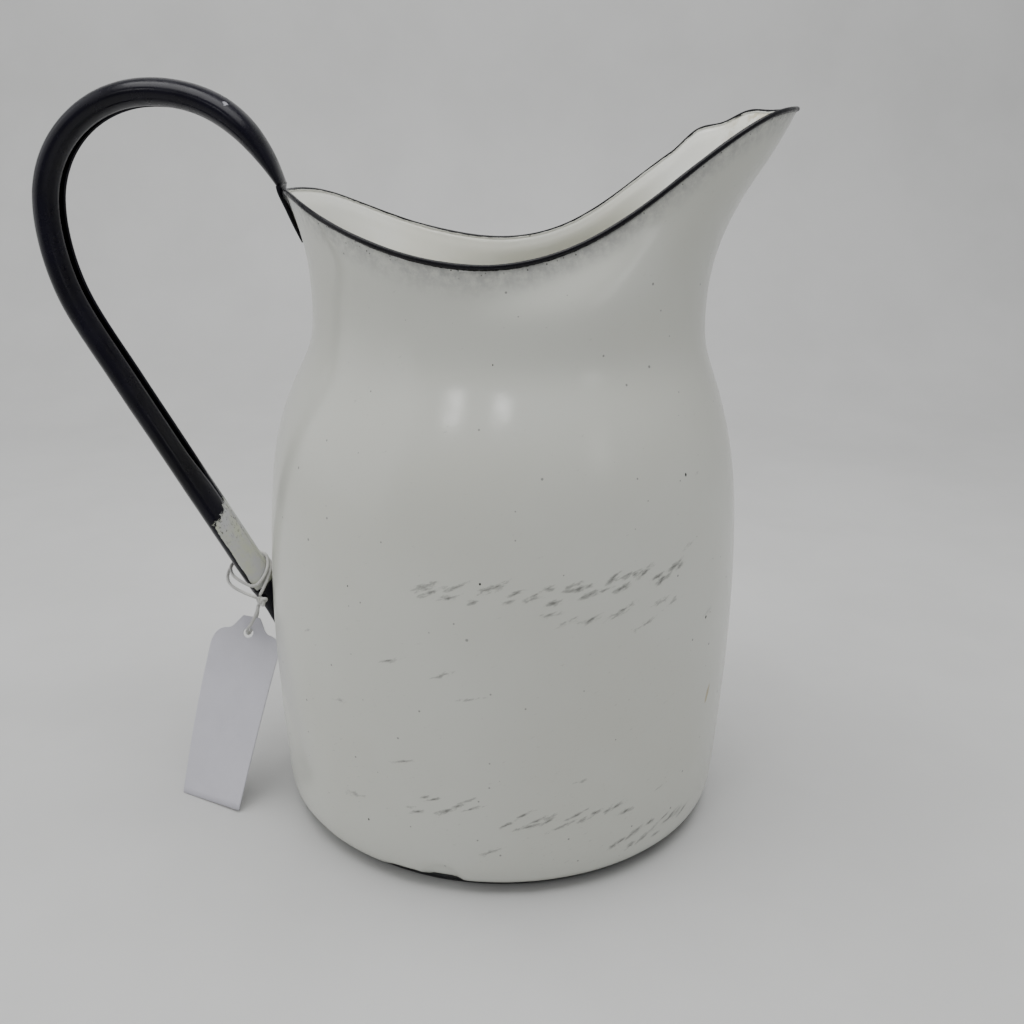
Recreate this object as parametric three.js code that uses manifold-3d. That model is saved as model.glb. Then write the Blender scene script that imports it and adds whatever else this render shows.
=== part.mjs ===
// Large enamelled steel water jug: drawn body with a flared collar and pouring spout,
// rolled rim, hollow strap handle, and a blank paper tag tied to the handle with string.
// Millimetres, +Z up, spout towards +X, handle towards -X.
// The origin is on the body's axis, at the level that the base stands on.
import * as THREE from "three";
import { mergeVertices } from "three/addons/utils/BufferGeometryUtils.js";
import Module from "manifold-3d";

// Driving dimensions.
const GAP = 0.3; // clearance between neighbouring pieces
const WALL = 1.4; // enamelled sheet steel
const SEGMENTS = 64; // divisions around the body and the rim

const NECK = { radius: 70.9, shift: 1.5, low: 150, bottom: 188, top: 192 };
const COLLAR = { pull: 1.5, slope: 0.18, slopeForward: 0.03, slopeEnds: 0.19 };
const BASE = { radius: 78.9, height: 3.4, sheet: 1.2, rim: 4.5 };
const SKIRT = { innerRadius: 71, height: BASE.height + GAP, cornerTop: 13, cornerRadius: 86.3 };
const BEAD_RADIUS = 1.1;

const HANDLE = {
  halfWidth: 9,
  halfThickness: 4.85,
  sheet: 1.1,
  slot: 6,
  foot: new THREE.Vector2(-95, 82.8),
  lean: THREE.MathUtils.degToRad(29.25), // of the straight run, from the vertical
  crownCentre: new THREE.Vector2(-122, 223.7),
  crownRadius: 40,
  kneeRadius: 82,
  end: new THREE.Vector2(-79.3, 233.8), // where the strap meets the tab at the rim
  endLean: THREE.MathUtils.degToRad(26), // of the strap there, from the vertical
  crownPull: 24, // how far the descent keeps to the crown's direction, then to the end's
  endPull: 18,
  taper: 32, // length over which the upper end narrows
  taperPower: 1.75,
  endHalfWidth: 6.5,
  endHalfThickness: 1.5,
};

const STRING_DIAMETER = 1.3;
const KNOT = { centre: new THREE.Vector3(-93.4, -10.7, 79), radius: 1.9 };
const TAG = {
  width: 29,
  below: 67.5, // from the hole down to the bottom edge
  shoulder: 5.5, // from the hole down to where the sides begin
  neck: 6.6, // from the hole up to the top edge
  thickness: 0.5,
  holeRadius: 2,
  bottom: new THREE.Vector3(-114.7, -28.3, 0.6), // middle of the bottom edge
  turn: THREE.MathUtils.degToRad(25.4), // about the vertical
  lean: THREE.MathUtils.degToRad(26.2), // back from the vertical
};

const wasm = await Module();
wasm.setup();

// ---------- helpers ----------

function signedVolume(points, faces) {
  const cross = new THREE.Vector3();
  let volume = 0;
  for (const [a, b, c] of faces) {
    volume += points[a].dot(cross.crossVectors(points[b], points[c])) / 6;
  }
  return volume;
}

// A closed mesh from points and triangles, turned so that its faces point out.
function solid(points, faces) {
  const flip = signedVolume(points, faces) < 0;
  const geometry = new THREE.BufferGeometry();
  geometry.setFromPoints(points);
  geometry.setIndex(faces.flatMap(([a, b, c]) => (flip ? [a, c, b] : [a, b, c])));
  return geometry;
}

// Joins rings of equal length into one skin. Ends are capped unless the rings close on themselves.
function loft(rings, outline = null) {
  const count = rings[0].length;
  const points = rings.flat();
  const faces = [];
  const spans = outline ? rings.length - 1 : rings.length;
  for (let i = 0; i < spans; i++) {
    const here = i * count;
    const next = ((i + 1) % rings.length) * count;
    for (let j = 0; j < count; j++) {
      const k = (j + 1) % count;
      faces.push([here + j, here + k, next + k]);
      faces.push([here + j, next + k, next + j]);
    }
  }
  if (outline) {
    const last = (rings.length - 1) * count;
    for (const [a, b, c] of THREE.ShapeUtils.triangulateShape(outline, [])) {
      faces.push([c, b, a]);
      faces.push([last + a, last + b, last + c]);
    }
  }
  return solid(points, faces);
}

function toManifold(geometry) {
  const bare = new THREE.BufferGeometry();
  bare.setAttribute("position", geometry.getAttribute("position").clone());
  if (geometry.index) {
    bare.setIndex(geometry.index.clone());
  }
  const merged = mergeVertices(bare, 1e-3);
  return new wasm.Manifold(new wasm.Mesh({
    numProp: 3,
    vertProperties: new Float32Array(merged.getAttribute("position").array),
    triVerts: new Uint32Array(merged.index.array),
  }));
}

function fromManifold(manifold) {
  const mesh = manifold.getMesh();
  const geometry = new THREE.BufferGeometry();
  geometry.setAttribute("position", new THREE.BufferAttribute(mesh.vertProperties, 3));
  geometry.setIndex(new THREE.BufferAttribute(mesh.triVerts, 1));
  return geometry;
}

function ellipse(halfX, halfY, count) {
  const outline = [];
  for (let i = 0; i < count; i++) {
    const angle = (2 * Math.PI * i) / count;
    outline.push(new THREE.Vector2(halfX * Math.cos(angle), halfY * Math.sin(angle)));
  }
  return outline;
}

// ---------- body ----------

// The body's outside below the collar: a rounded lower corner, a nearly straight side, a shoulder.
function bodyProfile() {
  const corner = new THREE.CubicBezierCurve(
    new THREE.Vector2(BASE.radius - 1, SKIRT.height),
    new THREE.Vector2(82.6, SKIRT.height),
    new THREE.Vector2(86.1, 6.5),
    new THREE.Vector2(SKIRT.cornerRadius, SKIRT.cornerTop),
  );
  const side = new THREE.SplineCurve([
    new THREE.Vector2(SKIRT.cornerRadius, SKIRT.cornerTop),
    new THREE.Vector2(87.4, 31),
    new THREE.Vector2(89.2, 80),
    new THREE.Vector2(86.4, 133.5),
    new THREE.Vector2(82.9, 151),
    new THREE.Vector2(76.4, 169),
    new THREE.Vector2(71.8, 181),
    new THREE.Vector2(NECK.radius, NECK.top),
  ]);
  return [
    new THREE.Vector2(SKIRT.innerRadius, SKIRT.height),
    ...corner.getPoints(5),
    ...side.getPoints(13).slice(1),
  ];
}

// The rim's plan and height: low at the sides, high at the back, highest at the spout's tip.
function rimCurve() {
  const half = [
    [95.5, 18, 260.2],
    [84, 34.5, 257.4],
    [60.5, 48, 243.1],
    [29.5, 59, 221.4],
    [-4, 69, 212.2],
    [-35.5, 66, 216.7],
    [-60, 50, 226.2],
    [-70.5, 30, 230.9],
  ];
  const left = half.map(([x, y, z]) => new THREE.Vector3(x, y, z));
  const right = half.map(([x, y, z]) => new THREE.Vector3(x, -y, z)).reverse();
  const tip = new THREE.Vector3(99.8, 0, 260.6);
  const back = new THREE.Vector3(-77, 0, 232);
  return new THREE.CatmullRomCurve3([tip, ...left, back, ...right], true);
}

const RIM = rimCurve();
RIM.arcLengthDivisions = 800;

// Outward run per unit of rise where the collar meets the rim: most at the tip, about none at
// the sides.
function rimSlope(angle) {
  const { slope, slopeForward, slopeEnds } = COLLAR;
  return slope + slopeForward * Math.cos(angle) + slopeEnds * Math.cos(2 * angle);
}

// One line up the outside of the body at a given fraction of the way round.
function bodyLine(fraction, lift) {
  const angle = 2 * Math.PI * fraction;
  const line = bodyProfile().map(({ x: radius, y: height }) => {
    const ease = THREE.MathUtils.smoothstep(height, NECK.low, NECK.bottom);
    return new THREE.Vector3(
      NECK.shift * ease + radius * Math.cos(angle),
      radius * Math.sin(angle),
      height,
    );
  });
  const start = line[line.length - 1];
  const end = RIM.getPointAt(fraction);
  const along = RIM.getTangentAt(fraction);
  const outward = new THREE.Vector3(along.y, -along.x, 0).normalize();
  end.z -= BEAD_RADIUS + lift;
  const rise = end.z - start.z;
  const startPull = new THREE.Vector3(0, 0, COLLAR.pull * rise);
  const endPull = outward.multiplyScalar(rimSlope(angle)).setZ(1).normalize().multiplyScalar(rise);
  const steps = 6;
  for (let i = 1; i <= steps; i++) {
    const t = i / steps;
    const point = start.clone().multiplyScalar(2 * t ** 3 - 3 * t ** 2 + 1);
    point.addScaledVector(startPull, t ** 3 - 2 * t ** 2 + t);
    point.addScaledVector(end, -2 * t ** 3 + 3 * t ** 2);
    point.addScaledVector(endPull, t ** 3 - t ** 2);
    line.push(point);
  }
  return line;
}

// The outside of the body as a grid of points: one line for each division round it.
function bodyGrid(lift) {
  const grid = [];
  for (let i = 0; i < SEGMENTS; i++) {
    grid.push(bodyLine(i / SEGMENTS, lift));
  }
  return grid;
}

// The same grid moved along its own normals.
function offsetGrid(grid, distance) {
  const around = new THREE.Vector3();
  const up = new THREE.Vector3();
  return grid.map((line, i) => line.map((point, j) => {
    const next = grid[(i + 1) % grid.length][j];
    const previous = grid[(i + grid.length - 1) % grid.length][j];
    around.subVectors(next, previous);
    up.subVectors(line[Math.min(j + 1, line.length - 1)], line[Math.max(j - 1, 0)]);
    return point.clone().addScaledVector(around.cross(up).normalize(), distance);
  }));
}

function bodyShell() {
  const outside = bodyGrid(GAP);
  const inside = offsetGrid(outside, -WALL);
  return loft(outside.map((line, i) => [...line, ...inside[i].toReversed()]));
}

// The whole body as one filled block, grown by a clearance, for cutting pieces that sit on it.
function bodyBlock(clearance) {
  const grid = offsetGrid(bodyGrid(0), clearance);
  const foot = new THREE.Vector3(0, 0, SKIRT.height - clearance);
  const top = new THREE.Vector3(0, 0, NECK.top);
  const count = grid[0].length;
  const points = grid.flat();
  const faces = [];
  const footIndex = points.push(foot) - 1;
  const topIndex = points.push(top) - 1;
  for (let i = 0; i < grid.length; i++) {
    const here = i * count;
    const next = ((i + 1) % grid.length) * count;
    for (let j = 0; j < count - 1; j++) {
      faces.push([here + j, next + j, next + j + 1]);
      faces.push([here + j, next + j + 1, here + j + 1]);
    }
    faces.push([footIndex, next, here]);
    faces.push([topIndex, here + count - 1, next + count - 1]);
  }
  return toManifold(solid(points, faces));
}

// A pressed disc whose folded edge makes the narrow ring that the jug stands on.
function bottomPlate() {
  const inner = BASE.radius - BASE.rim;
  const profile = [
    [0, 0],
    [BASE.radius - 0.8, 0],
    [BASE.radius, 0.8],
    [BASE.radius, BASE.height - 0.6],
    [BASE.radius - 0.6, BASE.height],
    [inner, BASE.height],
    [inner, BASE.sheet],
    [0, BASE.sheet],
  ].map(([x, y]) => new THREE.Vector2(x, y));
  const geometry = new THREE.LatheGeometry(profile, SEGMENTS);
  return geometry.rotateX(Math.PI / 2);
}

// A round bead all the way along the rim, grown by a clearance when it is used as a cutter.
function rimBead(clearance = 0) {
  const rings = [];
  const sides = 8;
  for (let i = 0; i < SEGMENTS; i++) {
    const fraction = i / SEGMENTS;
    const centre = RIM.getPointAt(fraction);
    const along = RIM.getTangentAt(fraction);
    const outward = new THREE.Vector3(along.y, -along.x, 0).normalize();
    const upward = new THREE.Vector3().crossVectors(outward, along);
    rings.push(ellipse(BEAD_RADIUS + clearance, BEAD_RADIUS + clearance, sides).map(({ x, y }) => (
      centre.clone().addScaledVector(outward, x).addScaledVector(upward, y)
    )));
  }
  return loft(rings);
}

// ---------- handle ----------

// The strap's centreline from the body up, over the crown and down to the rim.
function handleCentreline() {
  const { foot, lean, crownCentre, crownRadius, kneeRadius } = HANDLE;
  const { end, endLean, crownPull, endPull } = HANDLE;
  const kneeCentreX = crownCentre.x - crownRadius + kneeRadius;
  const knee = (angle) => new THREE.Vector2(
    kneeCentreX - kneeRadius * Math.cos(angle),
    crownCentre.y - kneeRadius * Math.sin(angle),
  );
  const points = [];
  const runSteps = 8;
  for (let i = 0; i < runSteps; i++) {
    points.push(foot.clone().lerp(knee(lean), i / runSteps));
  }
  const kneeSteps = 4;
  for (let i = 0; i < kneeSteps; i++) {
    points.push(knee(lean * (1 - i / kneeSteps)));
  }
  const crownSteps = 10;
  for (let i = 0; i < crownSteps; i++) {
    const angle = Math.PI * (1 - i / crownSteps / 2);
    points.push(new THREE.Vector2(
      crownCentre.x + crownRadius * Math.cos(angle),
      crownCentre.y + crownRadius * Math.sin(angle),
    ));
  }
  const top = new THREE.Vector2(crownCentre.x, crownCentre.y + crownRadius);
  const upFromEnd = new THREE.Vector2(-Math.sin(endLean), Math.cos(endLean));
  const descent = new THREE.CubicBezierCurve(
    top,
    new THREE.Vector2(top.x + crownPull, top.y),
    end.clone().addScaledVector(upFromEnd, endPull),
    end,
  );
  return new THREE.SplineCurve([...points, ...descent.getPoints(8)]);
}

// An oval tube, split along the side that faces the body.
function strapSection(halfThickness, halfWidth) {
  const steps = 13;
  const outline = [];
  for (const [inset, backwards] of [[0, false], [HANDLE.sheet, true]]) {
    const thick = halfThickness - inset;
    const wide = halfWidth - inset;
    const open = Math.asin(HANDLE.slot / 2 / wide);
    for (let i = 0; i <= steps; i++) {
      const t = backwards ? 1 - i / steps : i / steps;
      const angle = open + (2 * Math.PI - 2 * open) * t;
      outline.push(new THREE.Vector2(thick * Math.cos(angle), wide * Math.sin(angle)));
    }
  }
  return outline;
}

function handleStrap() {
  const curve = handleCentreline();
  const length = curve.getLength();
  const steps = 44;
  const rings = [];
  for (let i = 0; i <= steps; i++) {
    const at = curve.getPointAt(i / steps);
    const along = curve.getTangentAt(i / steps);
    const inward = new THREE.Vector3(along.y, 0, -along.x);
    const remaining = length * (1 - i / steps);
    const toEnd = Math.max(0, 1 - remaining / HANDLE.taper) ** HANDLE.taperPower;
    const thick = THREE.MathUtils.lerp(HANDLE.halfThickness, HANDLE.endHalfThickness, toEnd);
    const wide = THREE.MathUtils.lerp(HANDLE.halfWidth, HANDLE.endHalfWidth, toEnd);
    rings.push(strapSection(thick, wide).map(({ x, y }) => (
      new THREE.Vector3(at.x, y, at.y).addScaledVector(inward, x)
    )));
  }
  return loft(rings, strapSection(HANDLE.halfThickness, HANDLE.halfWidth));
}

// Rings of an oval whose two edges follow an outer and an inner line in the handle's plane.
function wedge(stations, sides) {
  const rings = stations.map(([outerX, outerZ, innerX, innerZ, halfWidth]) => {
    const outer = new THREE.Vector3(outerX, 0, outerZ);
    const inner = new THREE.Vector3(innerX, 0, innerZ);
    const middle = outer.clone().lerp(inner, 0.5);
    const half = inner.clone().sub(middle);
    return ellipse(1, halfWidth, sides).map(({ x, y }) => (
      middle.clone().addScaledVector(half, x).setY(y)
    ));
  });
  return loft(rings, ellipse(1, 1, sides));
}

// The flattened foot that fixes the strap's lower end to the body's side.
function lowerFoot(block) {
  const stations = [
    [-99.05, 80.15, -90.6, 84.85, 8.8],
    [-97.1, 77.4, -87.5, 81.6, 8.5],
    [-94.6, 73.6, -86, 76, 7.5],
    [-92, 69, -86, 70, 6],
    [-90.5, 64.3, -86, 64.5, 3.8],
  ];
  return fromManifold(toManifold(wedge(stations, 20)).subtract(block));
}

// The thin tab that runs from the strap's upper end down the outside of the collar.
function upperTab(block) {
  const stations = [
    [-80.4, 232.65, -77.95, 233.95, 5.8],
    [-80.1, 231.2, -77.6, 231.6, 5.8],
    [-78.9, 228, -76.2, 228.6, 5.6],
    [-76.6, 222, -72.6, 223, 5.5],
    [-74, 214.6, -70, 215.6, 4.6],
  ];
  const tab = toManifold(wedge(stations, 16));
  const bead = toManifold(rimBead(GAP));
  return fromManifold(tab.subtract(block).subtract(bead));
}

// ---------- string and tag ----------

function cord(points, steps) {
  const section = new THREE.Shape();
  section.setFromPoints(ellipse(STRING_DIAMETER / 2, STRING_DIAMETER / 2, 8));
  const path = new THREE.CatmullRomCurve3(points);
  return new THREE.ExtrudeGeometry(section, { extrudePath: path, steps, bevelEnabled: false });
}

// The string wound twice round the strap's lower end, from the knot and back to it.
// Each stop is: degrees round the strap from the front, distance off it, distance down it.
const LOOP_STOPS = [
  [-2, 1.4, 6.3],
  [24, 1.2, 4.6],
  [58, 1.1, 2.4],
  [90, 1.1, 0.8],
  [125, 1.1, -0.9],
  [180, 1.2, -3.4],
  [228, 1.5, -5.8],
  [262, 2.6, -7.2],
  [296, 2.6, -4.6],
  [330, 1.4, -0.6],
  [360, 1.1, 1.9],
  [400, 1.1, 1.4],
  [450, 1.1, -1.3],
  [490, 1.1, -3.2],
  [540, 1.6, -5.4],
  [576, 3.2, -6.6],
  [614, 5.6, -5.6],
  [650, 5.6, -2.2],
  [680, 3.9, 1.6],
  [702, 3.2, 4.6],
  [712, 2.9, 6.2],
];

function stringLoop() {
  const down = new THREE.Vector2(Math.sin(HANDLE.lean), -Math.cos(HANDLE.lean));
  const centre = HANDLE.foot.clone().addScaledVector(down, -4.5);
  const points = LOOP_STOPS.map(([degrees, off, along]) => {
    const angle = THREE.MathUtils.degToRad(degrees);
    const inward = (HANDLE.halfThickness + off) * Math.sin(angle);
    return new THREE.Vector3(
      centre.x + down.x * along - down.y * inward,
      -(HANDLE.halfWidth + off) * Math.cos(angle),
      centre.y + down.y * along + down.x * inward,
    );
  });
  return cord(points, 72);
}

// The tag's own directions: x across it, y up it, z out of its front.
function tagPlacement() {
  const across = new THREE.Vector3(Math.cos(TAG.turn), -Math.sin(TAG.turn), 0);
  const up = new THREE.Vector3(
    Math.sin(TAG.turn) * Math.sin(TAG.lean),
    Math.cos(TAG.turn) * Math.sin(TAG.lean),
    Math.cos(TAG.lean),
  );
  const front = new THREE.Vector3().crossVectors(across, up);
  const hole = TAG.bottom.clone().addScaledVector(up, TAG.below);
  return new THREE.Matrix4().makeBasis(across, up, front).setPosition(hole);
}

// The string from the knot through the tag's hole and back, in the tag's own directions.
// Its two ends stop beside the knot.
const STRAND_STOPS = [
  [10.2, 11.9, 11.4],
  [7.5, 8.9, 8.3],
  [4.4, 5.6, 4.9],
  [1.6, 2.8, 2.4],
  [0.2, 1.2, 1.3],
  [0, 0.1, 0.95],
  [0, -0.35, 0],
  [0, 0.1, -0.95],
  [0.1, 1.4, -1.35],
  [0.7, 4.4, -1.5],
  [1.5, 7.6, -1],
  [3.2, 9.4, 1.6],
  [5.8, 11, 5.6],
  [8.6, 12.6, 8.8],
  [10.6, 13.2, 9.9],
];

function stringStrands(placement) {
  const points = STRAND_STOPS.map(([x, y, z]) => new THREE.Vector3(x, y, z).applyMatrix4(placement));
  return cord(points, 48);
}

function stringKnot() {
  const geometry = new THREE.SphereGeometry(KNOT.radius, 12, 8);
  return geometry.scale(1.05, 0.95, 1.1);
}

// A blank ticket with square lower corners and a raised, scalloped top.
function paperTag() {
  const side = TAG.width / 2;
  const outline = new THREE.Shape();
  outline.moveTo(-side, -TAG.below);
  outline.lineTo(side, -TAG.below);
  outline.lineTo(side, -TAG.shoulder);
  outline.bezierCurveTo(side, -0.6, side - 2.4, 2.3, side - 5.6, 2.5);
  outline.bezierCurveTo(side - 8, 2.7, side - 9, 5, side - 11, TAG.neck);
  outline.lineTo(11 - side, TAG.neck);
  outline.bezierCurveTo(9 - side, 5, 8 - side, 2.7, 5.6 - side, 2.5);
  outline.bezierCurveTo(2.4 - side, 2.3, -side, -0.6, -side, -TAG.shoulder);
  const hole = new THREE.Path();
  hole.absarc(0, 0, TAG.holeRadius, 0, 2 * Math.PI, true);
  outline.holes.push(hole);
  const settings = { depth: TAG.thickness, bevelEnabled: false, curveSegments: 10 };
  return new THREE.ExtrudeGeometry(outline, settings).translate(0, 0, -TAG.thickness / 2);
}

// ---------- materials ----------

function paint(color, roughness, metalness = 0) {
  return new THREE.MeshStandardMaterial({ color, roughness, metalness });
}

const whiteEnamel = paint(0xd9d9d6, 0.22);
const blackEnamel = paint(0x101114, 0.15);
const cotton = paint(0xe4e1d8, 0.9);
const card = paint(0xdcdbe0, 0.85);

// ---------- assembly ----------

const jug = new THREE.Group();
jug.name = "large_water_jug";

function add(parent, name, geometry, material) {
  const mesh = new THREE.Mesh(geometry, material.clone());
  mesh.name = name;
  parent.add(mesh);
  return mesh;
}

const block = bodyBlock(GAP);
add(jug, "body_shell", bodyShell(), whiteEnamel);
add(jug, "bottom_plate", bottomPlate(), whiteEnamel);
add(jug, "rim_bead", rimBead(), blackEnamel);
add(jug, "handle_strap", handleStrap(), blackEnamel);
add(jug, "upper_tab", upperTab(block), blackEnamel);
add(jug, "lower_foot", lowerFoot(block), blackEnamel);
add(jug, "string_loop", stringLoop(), cotton);

const knot = add(jug, "string_knot", stringKnot(), cotton);
knot.position.copy(KNOT.centre);

const placement = tagPlacement();
add(jug, "string_strands", stringStrands(placement), cotton);
const tag = add(jug, "paper_tag", paperTag(), card);
tag.applyMatrix4(placement);

export default jug;
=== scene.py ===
"""Large enamelled steel water jug: white body, near-black rim and strap handle, and a blank
paper tag tied to the handle. Metres, +Z up, spout towards +X, handle towards -X."""

import math
import random

import bpy
import numpy as np
from mathutils import Matrix, Vector, noise


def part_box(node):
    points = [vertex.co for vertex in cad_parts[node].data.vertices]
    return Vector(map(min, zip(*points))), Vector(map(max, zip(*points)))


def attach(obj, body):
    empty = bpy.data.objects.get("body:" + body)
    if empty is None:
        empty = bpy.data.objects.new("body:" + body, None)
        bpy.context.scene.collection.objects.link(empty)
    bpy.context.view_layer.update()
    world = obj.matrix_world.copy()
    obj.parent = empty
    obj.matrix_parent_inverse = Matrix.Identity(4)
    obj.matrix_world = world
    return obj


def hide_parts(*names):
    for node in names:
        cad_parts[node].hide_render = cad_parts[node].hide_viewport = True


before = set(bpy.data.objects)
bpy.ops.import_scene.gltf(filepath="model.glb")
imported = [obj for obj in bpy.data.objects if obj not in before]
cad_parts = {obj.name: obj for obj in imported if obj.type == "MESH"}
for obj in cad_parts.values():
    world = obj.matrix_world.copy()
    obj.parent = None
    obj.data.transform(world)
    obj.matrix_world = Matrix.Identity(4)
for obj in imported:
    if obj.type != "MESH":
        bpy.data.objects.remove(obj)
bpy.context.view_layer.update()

MM = 0.001
JUG = "jug"
TAG_BODY = "tag"

# ------------------------------------------------------------------ sizes, in metres

WALL = 1.4 * MM
NECK_SHIFT = 1.5 * MM
NECK_LOW = 150 * MM
NECK_BOTTOM = 188 * MM
COLLAR_START = 192 * MM
COLLAR_PULL = 1.5
COLLAR_SLOPE = (0.18, 0.03, 0.19)  # all round, more at the spout, more at both ends
NECK_RADIUS = 70.9 * MM
BEAD_RADIUS = 0.85 * MM

HANDLE_HALF_WIDTH = 9 * MM
HANDLE_HALF_THICKNESS = 4.85 * MM
HANDLE_END_HALF_WIDTH = 6.5 * MM
HANDLE_END_HALF_THICKNESS = 1.5 * MM
HANDLE_SHEET = 1.1 * MM
HANDLE_SLOT = 6 * MM
HANDLE_FOOT = (-95 * MM, 82.8 * MM)
HANDLE_LEAN = math.radians(29.25)
CROWN_CENTRE = (-122 * MM, 223.7 * MM)
CROWN_RADIUS = 40 * MM
KNEE_RADIUS = 82 * MM
HANDLE_END = (-79.3 * MM, 233.8 * MM)
HANDLE_END_LEAN = math.radians(26)
CROWN_PULL = 24 * MM
END_PULL = 18 * MM
HANDLE_TAPER = 32 * MM
HANDLE_TAPER_POWER = 1.75
INSIDE_STRAP = 10.0  # what the side attribute says on the inner face, beyond any angle

STRING_DIAMETER = 1.3 * MM
STRING_LAY = 3.4 * MM  # the length of one turn of a ply
TAG_WIDTH = 29 * MM
TAG_BELOW = 67.5 * MM
TAG_SHOULDER = 7.5 * MM
TAG_NECK = 6.6 * MM
TAG_THICKNESS = 0.5 * MM
TAG_HOLE_RADIUS = 2 * MM
TAG_BOTTOM = Vector((-114.7, -28.3, 0.6)) * MM
TAG_TURN = math.radians(25.4)
TAG_LEAN = math.radians(26.2)
TAG_TWIST_TOP = math.radians(-17)
TAG_TWIST_BOTTOM = math.radians(4)
TAG_BOW = 1.0 * MM


# ------------------------------------------------------------------ camera

CAMERA_PLACE = (-0.002, -0.3994, 0.2442)
CAMERA_LENS = 37.97  # millimetres, on a 36 mm sensor
LOOKS_DOWN, LOOKS_RIGHT, LEANS_LEFT = 18.23, 0.78, 0.68  # degrees


def make_camera():
    """Stands in front of the jug, a little above it, and looks down on it."""
    data = bpy.data.cameras.new("camera")
    data.sensor_width = 36
    data.lens = CAMERA_LENS
    data.clip_start = 0.01
    camera = add_object("camera", data)
    pitch = Matrix.Rotation(math.radians(90 - LOOKS_DOWN), 4, "X")
    yaw = Matrix.Rotation(math.radians(-LOOKS_RIGHT), 4, "Z")
    roll = Matrix.Rotation(math.radians(LEANS_LEFT), 4, "Z")
    camera.matrix_world = Matrix.Translation(CAMERA_PLACE) @ yaw @ pitch @ roll
    bpy.context.scene.camera = camera


# ------------------------------------------------------------------ curves and meshes

def gaps(line):
    """The distances between neighbouring points of a line."""
    return np.linalg.norm(np.diff(line, axis=0), axis=1)


def circle(count):
    """Evenly spaced angles once round."""
    return np.linspace(0, 2 * math.pi, count, endpoint=False)


def spline(points, closed=False):
    """A smooth curve through the points, as a function of an array of fractions from 0 to 1."""
    points = np.array(points, float)
    if closed:
        points = np.vstack([points, points[:1]])
    step = gaps(points)
    knots = np.concatenate([[0], np.cumsum(step)])
    count = len(points)
    system = np.zeros((count, count))
    target = np.zeros_like(points)
    slope = np.diff(points, axis=0) / step[:, None]
    for i in range(1, count - 1):
        system[i, i - 1 : i + 2] = step[i - 1], 2 * (step[i - 1] + step[i]), step[i]
        target[i] = 6 * (slope[i] - slope[i - 1])
    if closed:
        system[0, [0, 1, count - 2]] = 2 * (step[-1] + step[0]), step[0], step[-1]
        target[0] = 6 * (slope[0] - slope[-1])
        system[-1, [0, -1]] = 1, -1
    else:
        system[0, 0] = system[-1, -1] = 1
    bend = np.linalg.solve(system, target)

    def at(fractions):
        place = np.clip(np.asarray(fractions, float), 0, 1) * knots[-1]
        i = np.clip(np.searchsorted(knots, place, "right") - 1, 0, count - 2)
        h = step[i][:, None]
        b = (place - knots[i])[:, None] / h
        a = 1 - b
        straight = a * points[i] + b * points[i + 1]
        return straight + ((a**3 - a) * bend[i] + (b**3 - b) * bend[i + 1]) * h**2 / 6

    return at


def evenly(curve, count, closed=False):
    """Points spread evenly by length along a curve."""
    fine = np.linspace(0, 1, 3001)
    line = curve(fine)
    run = np.concatenate([[0], np.cumsum(gaps(line))])
    wanted = np.linspace(0, run[-1], count + 1)[:-1] if closed else np.linspace(0, run[-1], count)
    return np.stack([np.interp(wanted, run, line[:, k]) for k in range(line.shape[1])], axis=1)


def bezier(a, b, c, d, count):
    """Points along a curve from a to d that sets off towards b and arrives from c, both ends
    included."""
    points = []
    for t in np.linspace(0, 1, count + 1):
        weights = (1 - t) ** 3, 3 * t * (1 - t) ** 2, 3 * t**2 * (1 - t), t**3
        points.append(sum(w * np.array(p) for w, p in zip(weights, (a, b, c, d))))
    return points


def smoothstep(value, low, high):
    t = np.clip((np.asarray(value, float) - low) / (high - low), 0, 1)
    return t * t * (3 - 2 * t)


def unit(vectors):
    return vectors / np.linalg.norm(vectors, axis=-1, keepdims=True)


def add_object(name, data):
    made = bpy.data.objects.new(name, data)
    bpy.context.scene.collection.objects.link(made)
    return made


def face_out(mesh):
    """Turns every face of a closed mesh outwards."""
    mesh.calc_loop_triangles()
    volume = 0
    for triangle in mesh.loop_triangles:
        a, b, c = (mesh.vertices[i].co for i in triangle.vertices)
        volume += a.dot(b.cross(c))
    if volume < 0:
        mesh.flip_normals()


def make_mesh(name, points, faces, body, replaces, materials, attributes=None):
    """A smooth piece from points and faces, riding on a body in place of CAD nodes."""
    mesh = bpy.data.meshes.new(name)
    mesh.from_pydata([tuple(p) for p in points], [], faces)
    for key, values in (attributes or {}).items():
        layer = mesh.attributes.new(key, "FLOAT", "POINT")
        layer.data.foreach_set("value", np.asarray(values, np.float32).ravel())
    mesh.update()
    mesh.shade_smooth()
    face_out(mesh)
    for material in materials:
        mesh.materials.append(material)
    piece = add_object(name, mesh)
    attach(piece, body)
    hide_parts(*replaces)
    return piece


def tube(line, out, across, radius, sides):
    """Points of a round tube about a line, ring by ring, from two directions square to it."""
    turn = circle(sides)[:, None]
    reach = np.broadcast_to(radius, len(line))[:, None, None]
    rings = line[:, None] + reach * (out[:, None] * np.cos(turn) + across[:, None] * np.sin(turn))
    return rings.reshape(-1, 3)


def ring_faces(rings, count, closed):
    """Quads between rings of equal size. Open stacks of rings are capped."""
    faces = []
    for i in range(rings if closed else rings - 1):
        here, there = i * count, (i + 1) % rings * count
        for j in range(count):
            k = (j + 1) % count
            faces.append((here + j, here + k, there + k, there + j))
    if not closed:
        faces.append(tuple(reversed(range(count))))
        faces.append(tuple(range((rings - 1) * count, rings * count)))
    return faces


def wavy(points, size, amount, seed):
    """A slow, seeded wander for each point, as distances."""
    offset = Vector((seed, 2.3 * seed, -1.7 * seed))
    return amount * np.array([noise.noise(Vector(p) / size + offset) for p in points])


# ------------------------------------------------------------------ body

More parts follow.
